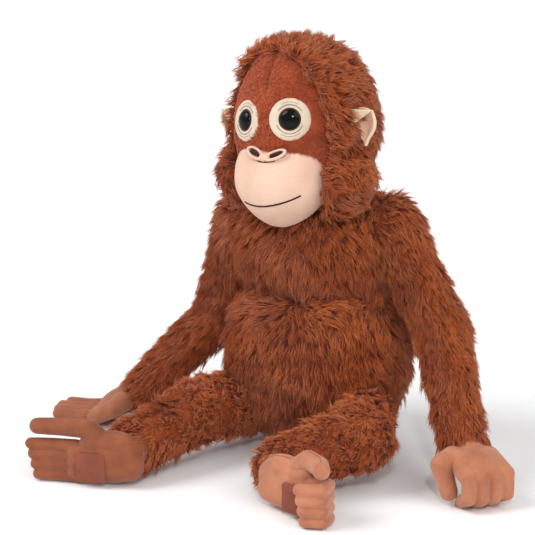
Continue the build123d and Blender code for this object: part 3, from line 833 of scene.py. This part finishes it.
def face_depth(x, z):
    """The face panel's y at a place across and up the head."""
    inside = 1 - (x / FACE_RADII[0]) ** 2 - ((z - FACE_CENTRE[2]) / FACE_RADII[2]) ** 2
    y = FACE_CENTRE[1] - FACE_RADII[1] * np.sqrt(np.clip(inside, 0.02, 1))
    above = np.clip((z - BROW_HEIGHT) / BROW_SPREAD, 0, 1)
    across = x - lean(z)
    y += BROW_CREASE * np.exp(-(across / BROW_CREASE_WIDTH) ** 2) * above
    y -= BROW_LOBE * np.exp(-((np.abs(across) - BROW_LOBE_ASIDE) / BROW_LOBE_WIDTH) ** 2) * above
    return y


def make_face():
    """The short-pile face panel, with two lobes and a crease over the brow."""
    rings, spokes, over = 44, 120, 1.12
    share = np.linspace(0, over, rings + 1)[1:]
    turn = np.arange(spokes) * 2 * pi / spokes
    x = (share[:, None] * np.cos(turn) * FACE_HALF_WIDTH).ravel()
    z = (share[:, None] * np.sin(turn) * FACE_HALF_HEIGHT + FACE_HEIGHT).ravel()
    x, z = np.append(x, 0), np.append(z, FACE_HEIGHT)
    x += lean(z)
    points = world(np.stack([x, face_depth(x, z), z], axis=1), HEAD_FRAME)
    middle = len(points) - 1
    faces = [quad[::-1] for quad in ring_faces(rings, spokes)]
    faces += [(middle, spoke, (spoke + 1) % spokes) for spoke in range(spokes)]
    skin = link("face_skin", mesh_from("face_skin", points.tolist(), faces))
    thicken(skin, 0.003, -1)
    baked(skin)

    def keep(p):
        q = local(p, HEAD_FRAME)
        front = q[:, 1] < face_depth(q[:, 0], q[:, 2]) + 0.001
        bare = np.zeros(len(p), bool)
        for side in SIDES:
            bare |= np.linalg.norm(p - np.array(eye_frame(side).translation), axis=1) < PATCH_BARE
        bare |= within_oval(p, MUZZLE_CENTRE, MUZZLE_RADII, HEAD_FRAME, -0.002)
        return front & ~bare

    def comb(points):
        p = local(points, HEAD_FRAME)
        way = np.stack([p[:, 0] * 20, np.zeros(len(p)), np.full(len(p), 0.6)], axis=1)
        return unit(way) @ np.array(HEAD_FRAME)[:3, :3].T

    made, = grow("face_pile", skin, comb, FACE_LENGTH, SHORT, 401, keep, FACE_LOCKS, SHORT_PILE)
    dress(made, "head", ("face_panel",))


def muzzle_shape(sphere):
    """A unit sphere's points shaped into the muzzle, in the head's frame: square above, round below."""
    x, y, z = sphere.T
    top = np.clip(z, 0, 0.98)
    square = (1 - top ** 3.5) ** (1 / 3.5) / np.sqrt(1 - top ** 2)
    wide = 1.11 * np.clip(square, 1, 2.0) - 0.36 * np.clip(-z, 0, 1) ** 1.6
    shaped = np.stack([x * wide * MUZZLE_RADII[0], y * MUZZLE_RADII[1],
                       z * np.where(z > 0, 1.0, 1.11) * MUZZLE_RADII[2]], axis=1)
    seam = np.exp(-(shaped[:, 0] / 0.0012) ** 2) * (y < 0)
    shaped[:, 1] += 0.0006 * seam
    return shaped + np.array(MUZZLE_CENTRE)


def make_muzzle():
    """The pale muzzle with its middle seam."""
    shapes = bmesh.new()
    bmesh.ops.create_icosphere(shapes, subdivisions=6, radius=1)
    mesh = mesh_of("muzzle_knit", shapes)
    move_points(mesh, world(muzzle_shape(points_of(mesh)), HEAD_FRAME))
    smooth(mesh)
    dress(link("muzzle_knit", mesh, KNIT), "head", ("muzzle",))


def thread(name, points, radius, material, body):
    """A sewn line as a thin tube through points."""
    curve = bpy.data.curves.new(name, "CURVE")
    curve.dimensions = "3D"
    curve.bevel_depth = radius
    curve.bevel_resolution = 2
    curve.use_fill_caps = True
    spline = curve.splines.new("POLY")
    spline.points.add(len(points) - 1)
    for point, at in zip(spline.points, points):
        point.co = (*at, 1)
    made = link(name, curve)
    mesh = mesh_shown(made)
    bpy.data.objects.remove(made)
    return dress(link(name, mesh, material), body)


def muzzle_line(turn, drop):
    """Points on the muzzle's front, from turns about it and heights as shares of its own."""
    level = np.sqrt(1 - drop ** 2)
    sphere = np.stack([np.sin(turn) * level, -np.cos(turn) * level, drop], axis=1)
    return [Vector(p) for p in world(muzzle_shape(sphere), HEAD_FRAME)]


def make_mouth():
    """The embroidered mouth, a shallow smile on the muzzle."""
    turn = np.radians(np.linspace(*MOUTH_TURNS, 48))
    drop = -0.435 + 0.28 * ((turn + 0.14) / (turn[-1] + 0.14)) ** 2
    thread("mouth_thread", muzzle_line(turn, drop), MOUTH_RADIUS, THREAD, "head")


def nose_place(across, up):
    """A place on the rolled rim of the nose, in the head's frame."""
    return Vector((across, -0.0680 + 0.25 * abs(across) + 0.9 * up, -0.0230 + up + 0.32 * abs(across)))


def make_nose():
    """The flat, broad nose: a rolled rim round two slanted nostrils, with a dark dip below."""
    def draw(shapes):
        for sign in (-1, 1):
            steps = 16
            for number in range(steps):
                a, b = (2 * pi * k / steps for k in (number, number + 1))
                ends = [HEAD_FRAME @ nose_place(sign * (NOSTRIL_ASIDE + NOSTRIL_RADII[0] * cos(t)),
                                                NOSTRIL_RADII[1] * sin(t)) for t in (a, b)]
                rod(shapes, ends[0], ends[1], NOSE_RIM, NOSE_RIM, 2)
        oval(shapes, (0, -0.0645, -0.0232), (0.0068, 0.0050, 0.0052), HEAD_FRAME, 3)

    dress(fused("nose_knit", draw, 0.0008, 3, KNIT), "head", ("nose",))
    for side, sign in SIGNS.items():
        def fill(shapes):
            inner, outer = (HEAD_FRAME @ (nose_place(sign * x, 0) + Vector((0, 0.0016, 0)))
                            for x in (0.0070, 0.0160))
            rod(shapes, inner, outer, 0.0022, 0.0028, 3)
        dress(fused(f"{side}_nostril", fill, 0.0008, 2, THREAD), "head")
    turn = np.radians(np.linspace(*DIP_TURNS, 24))
    drop = 0.560 + 0.05 * (turn / turn[-1]) ** 2
    thread("nose_dip", muzzle_line(turn, drop), DIP_RADIUS, THREAD, "head")


def eye_frame(side):
    """An eye's frame: z out of the face."""
    low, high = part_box(f"{side}_eye_patch")
    turn = EYE_TURN * SIGNS[side]
    level = HEAD_X * sin(turn) - HEAD_Y * cos(turn)
    out = level * cos(EYE_TILT) + UP * sin(EYE_TILT)
    x = UP.cross(out).normalized()
    across, up = EYE_SHIFT[side]
    middle = (low + high) / 2
    at = HEAD_FRAME.inverted() @ middle
    back = face_depth(at.x + across, at.z + up) - face_depth(at.x, at.z)
    middle += HEAD_X * across + UP * up + HEAD_Y * float(back)
    return basis(x, out.cross(x), out, middle)


def disc(name, matrix, profile, material):
    """A piece turned about a frame's z from a profile of (radius, height)."""
    spokes = 72
    turns = [2 * pi * spoke / spokes for spoke in range(spokes)]
    points = [matrix @ Vector((radius * cos(a), radius * sin(a), height))
              for radius, height in profile for a in turns]
    faces = ring_faces(len(profile), spokes)
    faces.append(tuple(range(spokes))[::-1])
    faces.append(tuple((len(profile) - 1) * spokes + s for s in range(spokes)))
    mesh = mesh_from(name, points, faces)
    smooth(mesh)
    return link(name, mesh, material)


def dome(radius, rise):
    """A dome's profile, from under its rim to its top."""
    turns = [radians(86) * k / 14 for k in range(15)]
    return [(radius, -0.002)] + [(radius * cos(a), rise * sin(a)) for a in turns]


PATCH_PROFILE = [(0.0196, -0.004), (0.0200, 0.0), (0.0192, 0.0012),
                 (0.0150, 0.0020), (0.0060, 0.0026), (0.0005, 0.0027)]
# Embroidered arcs: radius, and the turns in degrees where each begins and ends
ARCS = ((0.0135, 35, 145), (0.0160, 60, 120), (0.0135, 205, 335), (0.0160, 240, 310))


def make_eye(side):
    """The felt patch, its embroidered arcs, and the bead in its brown ring."""
    matrix = eye_frame(side)
    patch = disc(f"{side}_eye_felt", matrix, PATCH_PROFILE, FELT)
    iris = disc(f"{side}_iris", matrix @ Matrix.Translation((0, 0, 0.0022)), dome(0.0108, 0.0016), IRIS)
    bead = disc(f"{side}_bead", matrix @ Matrix.Translation((0, 0, 0.0026)), dome(0.0094, 0.0042), BEAD)
    dress(patch, "head", stands_for=(f"{side}_eye_patch",))
    dress(iris, "head")
    dress(bead, "head", stands_for=(f"{side}_eye",))
    for number, (radius, first, last) in enumerate(ARCS):
        turns = np.radians(np.linspace(first, last, 30))
        height = 0.0022 - (radius - ARCS[0][0]) * 0.25
        line = [matrix @ Vector((radius * cos(a), radius * sin(a), height)) for a in turns]
        thread(f"{side}_eye_arc_{number + 1}", line, STITCH, FINE_THREAD, "head")


def sheet(name, place_at, rows, columns, thickness, material, flip):
    """A soft sheet whose points a function of two shares gives, with a rounded thickness."""
    points = [place_at(row / rows, column / columns)
              for row in range(rows + 1) for column in range(columns + 1)]
    faces = []
    for row in range(rows):
        for column in range(columns):
            a = row * (columns + 1) + column
            quad = (a, a + 1, a + columns + 2, a + columns + 1)
            faces.append(quad[::-1] if flip else quad)
    made = link(name, mesh_from(name, points, faces), material)
    thicken(made, thickness, 0)
    round_off = made.modifiers.new("round", "SUBSURF")
    round_off.levels = round_off.render_levels = 1
    return baked(made)


# The ears in the head's directions: the right one looks smaller, seen from the camera
EAR_TOP = {"left": 0.0225, "right": 0.0225 - 0.009}
EAR_REACH = {"left": 0.0255, "right": 0.66 * 0.0255}
EAR_FOOT, EAR_ROOT, EAR_FRONT = -0.0100, 0.0655, -0.0190


def make_ear(side):
    """A cupped felt ear, with a pink lining and its upper front corner folded down as a flap."""
    top, reach = EAR_TOP[side], EAR_REACH[side]

    def spot(aside, back, height):
        return HEAD_FRAME @ Vector((SIGNS[side] * (EAR_ROOT + aside), EAR_FRONT + back, height))

    def cup(down_share, out):
        height = top + (EAR_FOOT - top) * down_share
        near = 0.015 * max(0.0, down_share - 0.35) ** 1.4 / 0.65 ** 1.4
        far = reach * (0.86 + 0.16 * sin(pi * min(1, down_share * 1.25)) - 0.22 * down_share ** 3)
        hollow = 0.0075 * sin(pi * out) * sin(pi * (0.1 + 0.8 * down_share))
        return spot(near + (far - near) * out, 0.003 * (1 - out) + hollow,
                    height + 0.002 * sin(pi * out) * (1 - down_share))

    def flap(down_share, out):
        width = reach * 0.88 * (1 - down_share) ** 0.9 + 0.0012
        height = top + 0.0008 - 0.0175 * down_share * (1 - 0.15 * out)
        bulge = 0.0022 * sin(pi * out) * (1 - down_share)
        return spot(0.0006 + width * out, -0.0022 - bulge, height)

    for name, shape, material, nodes in (("ear_cup", cup, EAR_LINING, (f"{side}_ear",)),
                                         ("ear_flap", flap, EAR_FELT, ())):
        made = sheet(f"{side}_{name}", shape, 22, 18, 0.0022, material, side == "left")
        dress(made, "head", stands_for=nodes)
    edge = [cup(k / 40, 1.0) for k in range(41)]
    thread(f"{side}_ear_rim", edge, 0.0016, EAR_FELT, "head")


# -------- hands and feet

def chain(start, bends):
    """A digit's joints in its plane, as (reach, rise) pairs."""
    joints = [start]
    for angle, length in bends:
        reach, rise = joints[-1]
        joints.append((reach + length * cos(radians(angle)), rise + length * sin(radians(angle))))
    return joints


def digit(shapes, joints, first_radius, last_radius, spot):
    """Draw a digit as a chain of tapers."""
    count = len(joints) - 1
    for number in range(count):
        a, b = (first_radius + (last_radius - first_radius) * k / count for k in (number, number + 1))
        rod(shapes, spot(*joints[number]), spot(*joints[number + 1]), a, b)


def suede(name, draw, material):
    """A suede piece, fused from what draw() draws and flat on the floor."""
    return above_floor(fused(name, draw, 0.0013, 2, material), SUEDE_FLOOR)


def stretched(joints, share):
    """A digit's joints with their distances from its first one scaled."""
    reach, rise = joints[0]
    return [(reach + (r - reach) * share, rise + (h - rise) * share) for r, h in joints]


def bend_between(made, side, first, second):
    """Dress a suede piece that stands for two nodes, hiding both."""
    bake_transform(made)
    dress(made, None, (f"{side}_{first}", f"{side}_{second}"))


def seam(name, made, inside, ways, body):
    """A stitched line laid on a piece, where rays from inside points leave it."""
    line = []
    for start, way in zip(inside, ways):
        hit, at, _, _ = made.ray_cast(start + way * 0.08, -way, distance=0.08)
        if hit:
            line.append(at + way * STITCH * 0.3)
    thread(name, line, STITCH, SEAM, body)


def make_hand(side):
    """The palm with its four fingers, and the thumb."""
    matrix = hand_frame(side)
    sign = SIGNS[side]
    fingers = chain((KNUCKLE_REACH, 0.0), FINGER_BENDS[side])

    def draw(shapes):
        rod(shapes, matrix @ Vector((-0.012, 0, 0)), matrix @ Vector((0.020, 0, 0)), 0.0165, 0.0160)
        oval(shapes, (0.030, 0, 0.0015), (0.025, 0.026, 0.0135), matrix, 4)
        for number in range(4):
            aside = (number - 1.5) * 0.013
            rod(shapes, matrix @ Vector((0.022, aside * 0.75, 0)), matrix @ Vector((0.050, aside, 0.001)),
                0.0118, 0.0082)
            mine = stretched(fingers, 1 + 0.10 * (1.5 - abs(number - 1.3)) - 0.05)
            digit(shapes, [(0.049, -0.001)] + mine, 0.0070, 0.0064,
                  lambda reach, rise: matrix @ Vector((reach, aside, -rise)))

    made = suede(f"{side}_hand_suede", draw, SUEDE[side])
    middle = matrix @ Vector((KNUCKLE_REACH, 0, 0))
    if side == "left":
        way = (matrix @ Vector((1, 0, -1)) - matrix.translation).normalized()
        middle += way * 0.002
    else:
        way = matrix.to_3x3() @ Vector((1, 0, 0))
    bend_between(made, side, "hand", "fingers")

    bend = radians(THUMB_BENDS[side])
    root = Vector((0.024, -sign * 0.0345, 0))
    aim = Vector((cos(bend), sign * THUMB_LEAN, -sin(bend))).normalized()

    def draw_thumb(shapes):
        rod(shapes, matrix @ (root + Vector((-0.008, sign * 0.016, 0))), matrix @ root, 0.0115, 0.0100)
        rod(shapes, matrix @ root, matrix @ (root + aim * 0.026), 0.0100, 0.0086)

    thumb = suede(f"{side}_thumb_suede", draw_thumb, SUEDE[side])
    dress(thumb, f"{side}_thumb", (f"{side}_thumb",))


def make_foot(side):
    """The foot with its four toes, the big toe, and the seams round the sole."""
    matrix = foot_frame(side)
    sign = SIGNS[side]
    ankle = matrix.translation
    root = matrix.inverted() @ place(f"{side}_big_toe_curl")
    big_reach, big_height = root.x, sign * root.y + ankle.z

    def spot(reach, height, depth=TOE_DEPTH):
        return matrix @ Vector((reach, sign * (height - ankle.z), depth))

    toes = chain((TOE_REACH, TOE_DEPTH), TOE_BENDS[side])

    def draw(shapes):
        rod(shapes, matrix @ Vector((0, 0, 0)), matrix @ Vector((0.002, 0, 0.018)), 0.019, 0.017)
        rod(shapes, spot(0.001, 0.019), spot(0.030, 0.018), 0.0130, 0.0125)
        oval(shapes, (0.019, sign * (0.029 - ankle.z), TOE_DEPTH), (0.032, 0.0265, 0.0128), matrix)
        for height in (0.014, 0.024, 0.034):
            rod(shapes, spot(0.012, height * 0.9 + 0.004), spot(0.054, height - 0.001), 0.0125, 0.0098)
        rod(shapes, spot(0.012, 0.042), spot(0.040, 0.043), 0.0125, 0.0105)
        for number in range(4):
            height = 0.0070 + number * 0.0103
            mine = stretched(toes, 1 + 0.07 * (number - 1.5))
            if side == "right":
                mine = mine[1:]
            digit(shapes, [(TOE_REACH - 0.010, TOE_DEPTH)] + mine, 0.0062, 0.0056,
                  lambda reach, rise: spot(reach, height, rise))

    made = suede(f"{side}_foot_suede", draw, SOLE[side])
    bend_between(made, side, "foot", "toes")
    turns = [radians(55 + 170 * k / 40) for k in range(41)]
    inside = [spot(0.012, 0.029, 0.029)] * len(turns)
    ways = [(spot(cos(t), sin(t)) - spot(0, 0)).normalized() for t in turns]
    seam(f"{side}_heel_seam", made, inside, ways, f"{side}_foot")

    big = chain((big_reach, TOE_DEPTH), BIG_TOE_BENDS[side])

    def draw_big(shapes):
        rod(shapes, spot(big_reach - 0.012, big_height - 0.010), spot(big_reach, big_height),
            0.0098, 0.0095)
        digit(shapes, big, 0.0096, 0.0080, lambda reach, rise: spot(reach, big_height, rise))

    toe = suede(f"{side}_big_toe_suede", draw_big, SOLE[side])
    dress(toe, f"{side}_big_toe", (f"{side}_big_toe",))
    over = (spot(0, 1) - spot(0, 0)).normalized()
    inside = [spot(reach + (to[0] - reach) * k / 12, big_height, rise + (to[1] - rise) * k / 12)
              for (reach, rise), to in zip(big, big[1:]) for k in range(12)]
    seam(f"{side}_big_toe_seam", toe, inside, [over] * len(inside), f"{side}_big_toe")


# -------- stage

CAMERA_AZIMUTH = radians(26)
CAMERA_ELEVATION = radians(13)
CAMERA_DISTANCE = 1.4
CAMERA_TARGET = Vector((-0.0677, 0.0121, 0.1758))
CAMERA_LENS = 89.0


def stand(made, at, way):
    """Put a camera or a lamp at a place, so that it looks a way."""
    made.location = at
    made.rotation_mode = "QUATERNION"
    made.rotation_quaternion = way.to_track_quat("-Z", "Y")


def make_camera():
    """The camera at the toy's front, a little to its left."""
    camera = link("camera", bpy.data.cameras.new("camera"))
    flat = cos(CAMERA_ELEVATION)
    back = Vector((sin(CAMERA_AZIMUTH) * flat, -cos(CAMERA_AZIMUTH) * flat, sin(CAMERA_ELEVATION)))
    stand(camera, CAMERA_TARGET + back * CAMERA_DISTANCE, -back)
    camera.data.lens = CAMERA_LENS
    bpy.context.scene.camera = camera


def make_light(name, kind, aim_from, energy, **settings):
    """A lamp that shines at the toy from a direction."""
    data = bpy.data.lights.new(name, kind)
    data.energy = energy
    for key, value in settings.items():
        setattr(data, key, value)
    stand(link(name, data), Vector(aim_from) + Vector((0, 0, 0.2)), -Vector(aim_from))


def make_stage():
    """The floor, the world and the lamps."""
    size = 30
    corners = [(-size, -size, 0), (size, -size, 0), (size, size, 0), (-size, size, 0)]
    mesh = mesh_from("floor", corners, [(0, 1, 2, 3)])
    paint = Paint("floor", roughness=1.0, specular=0.0)
    pale, white = (0.93, 0.93, 0.93, 1), (0.95, 0.95, 0.95, 1)
    paint.colour(paint.ramp(paint.noise(3.0), (0.0, pale), (1.0, white)))
    link("floor", mesh, paint.material)
    scene_world = bpy.data.worlds.new("studio")
    bpy.context.scene.world = scene_world
    scene_world.use_nodes = True
    sky = scene_world.node_tree.nodes["Background"].inputs
    sky["Color"].default_value = (1, 1, 1, 1)
    sky["Strength"].default_value = 0.55
    make_light("key", "SUN", (-1.0, -0.8, 1.3), 1.7, angle=radians(35))
    make_light("fill", "SUN", (1.2, -0.3, 1.1), 0.9, angle=radians(50))
    make_light("catch", "AREA", (0.75, -1.5, 0.95), 9.0, size=0.15)


def make_tape():
    """The loop tape on the soles and in the palms keeps its CAD shape."""
    for side in SIDES:
        for name in (f"{side}_sole_patch", f"{side}_palm_patch"):
            node = frame["nodes"][name]
            node.data.materials.clear()
            node.data.materials.append(TAPE)


def main():
    """Build the toy and its stage."""
    bpy.context.scene.view_settings.view_transform = "Standard"
    make_torso()
    make_limbs()
    make_hood()
    make_face()
    make_muzzle()
    make_mouth()
    make_nose()
    for side in SIDES:
        make_eye(side)
        make_ear(side)
        make_hand(side)
        make_foot(side)
    make_tape()
    make_stage()
    make_camera()


main()
